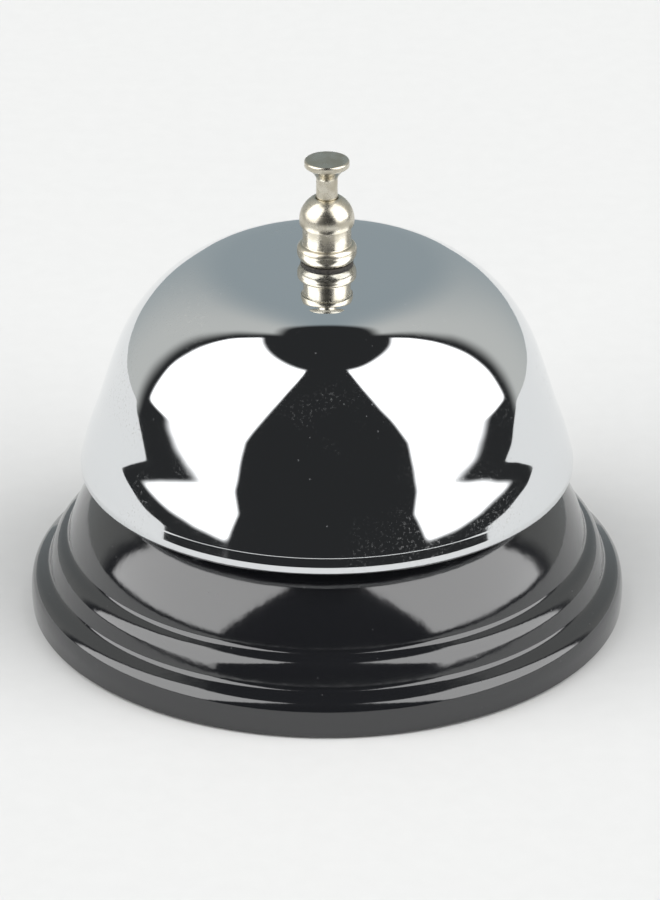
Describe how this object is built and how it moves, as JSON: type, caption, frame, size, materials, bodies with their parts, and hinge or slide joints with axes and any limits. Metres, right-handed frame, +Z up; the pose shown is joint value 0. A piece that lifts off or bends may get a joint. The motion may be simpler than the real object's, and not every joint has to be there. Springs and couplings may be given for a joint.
{
  "type": "service bell",
  "caption": "Desk service bell with a chromed domed gong on a round stepped black base and a sprung push plunger that tips an inner hammer against the gong.",
  "frame": {"origin": "centre of the round footprint, on the surface the bell rests on", "axes": "+Z up along the gong, post and plunger axis; +X from the axis towards the hammer; the pivot pin lies along Y"},
  "size_m": [0.085, 0.085, 0.068],
  "materials": {
    "chrome_plate": "bright chrome plate on pressed steel, with fine dust and hairline marks",
    "nickel_plate": "bright nickel plate, slightly warm, on turned brass",
    "black_gloss_enamel": "gloss black baked enamel on pressed steel",
    "black_rubber": "matt black rubber",
    "black_fibre": "matt vulcanised fibre",
    "zinc_plated_steel": "clear zinc plate",
    "spring_steel": "drawn spring steel, lightly oiled",
    "brass": "turned brass, unlacquered"
  },
  "bodies": {
    "root": {"base_shell": "black_gloss_enamel", "foot_ring": "black_rubber", "striker_bumper": "black_rubber", "bridge_bracket": "zinc_plated_steel", "bracket_screws": "zinc_plated_steel", "bracket_lock_washers": "zinc_plated_steel", "bracket_nuts": "zinc_plated_steel", "post": "zinc_plated_steel", "post_lock_washer": "zinc_plated_steel", "post_nut": "zinc_plated_steel", "gong_seat_washer": "black_fibre", "gong": "chrome_plate", "gong_top_washer": "black_fibre", "finial_nut": "nickel_plate", "pivot_pin": "spring_steel", "pivot_clips": "spring_steel", "return_spring": "spring_steel"},
    "plunger": {"plunger": "nickel_plate", "spring_collar": "nickel_plate"},
    "striker": {"striker_arm": "zinc_plated_steel", "striker_hammer": "brass", "hammer_rivet": "zinc_plated_steel"}
  },
  "joints": [
    {"name": "plunger_slide", "type": "slide", "parent": "root", "child": "plunger", "axis": [0, 0, -1], "range_m": [0, 0.00275], "stiffness_N_per_m": 900, "springref_m": -0.0015, "deforming": ["return_spring"]},
    {"name": "striker_pivot", "type": "hinge", "parent": "root", "child": "striker", "pos_m": [0.0075, 0, 0.038], "axis": [0, -1, 0], "range_deg": [0, 20.8]}
  ],
  "couplings": [
    {"joint": "striker_pivot", "follows": "plunger_slide", "rad_per_m": 132}
  ]
}
